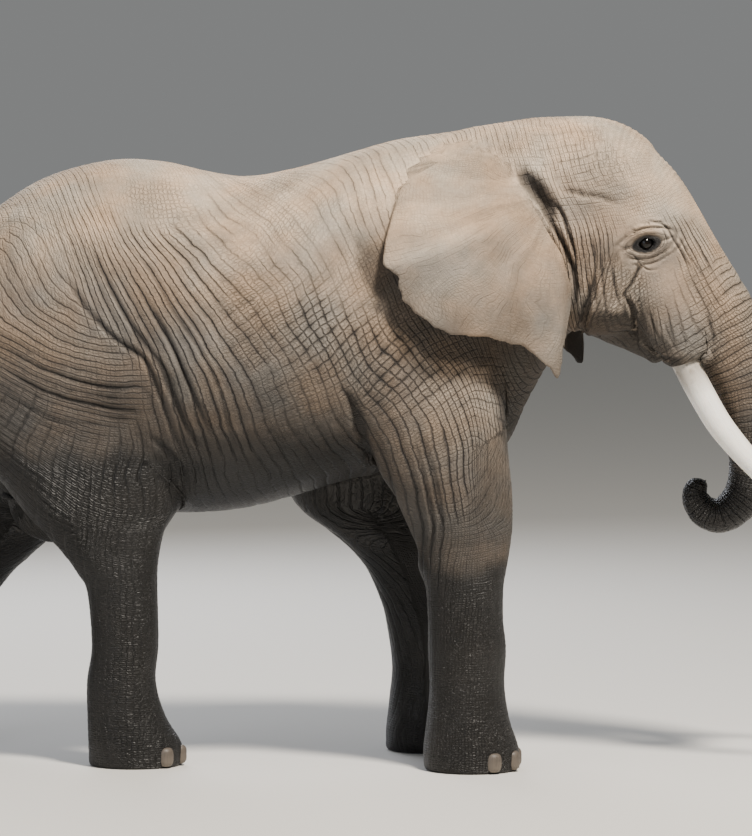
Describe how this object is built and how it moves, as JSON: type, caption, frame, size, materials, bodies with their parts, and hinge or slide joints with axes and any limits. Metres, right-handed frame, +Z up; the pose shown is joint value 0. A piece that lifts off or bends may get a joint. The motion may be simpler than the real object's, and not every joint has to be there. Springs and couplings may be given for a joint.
{
  "type": "african savanna elephant",
  "caption": "Life-size still model of a bull African savanna elephant in mid step, ears laid back, tusks forward, trunk curled under its tip.",
  "frame": {"origin": "middle of the bounding box at floor level, between the four feet", "axes": "+X the way the animal faces, +Y its left side, +Z up"},
  "size_m": [4.8643, 1.5306, 3.2175],
  "materials": {
    "skin": "matte, deeply wrinkled, dusty above and wet below",
    "ivory": "satin",
    "eye": "wet gloss",
    "nail": "satin horn",
    "hair": "coarse bristle"
  },
  "bodies": {
    "root": {"ear_left": "skin", "ear_right": "skin", "eye_left": "eye", "eye_right": "eye", "forefoot_left": "skin", "forefoot_right": "skin", "foreleg_left_lower": "skin", "foreleg_left_upper": "skin", "foreleg_right_lower": "skin", "foreleg_right_upper": "skin", "head": "skin", "hindfoot_left": "skin", "hindfoot_right": "skin", "hindleg_left_lower": "skin", "hindleg_right_lower": "skin", "nail_forefoot_left_1": "nail", "nail_forefoot_left_2": "nail", "nail_forefoot_left_3": "nail", "nail_forefoot_left_4": "nail", "nail_forefoot_right_1": "nail", "nail_forefoot_right_2": "nail", "nail_forefoot_right_3": "nail", "nail_forefoot_right_4": "nail", "nail_hindfoot_left_1": "nail", "nail_hindfoot_left_2": "nail", "nail_hindfoot_left_3": "nail", "nail_hindfoot_right_1": "nail", "nail_hindfoot_right_2": "nail", "nail_hindfoot_right_3": "nail", "neck": "skin", "tail": "skin", "tail_tuft": "hair", "torso": "skin", "trunk_middle": "skin", "trunk_tip": "skin", "trunk_upper": "skin", "tusk_left": "ivory", "tusk_right": "ivory"}
  },
  "joints": []
}
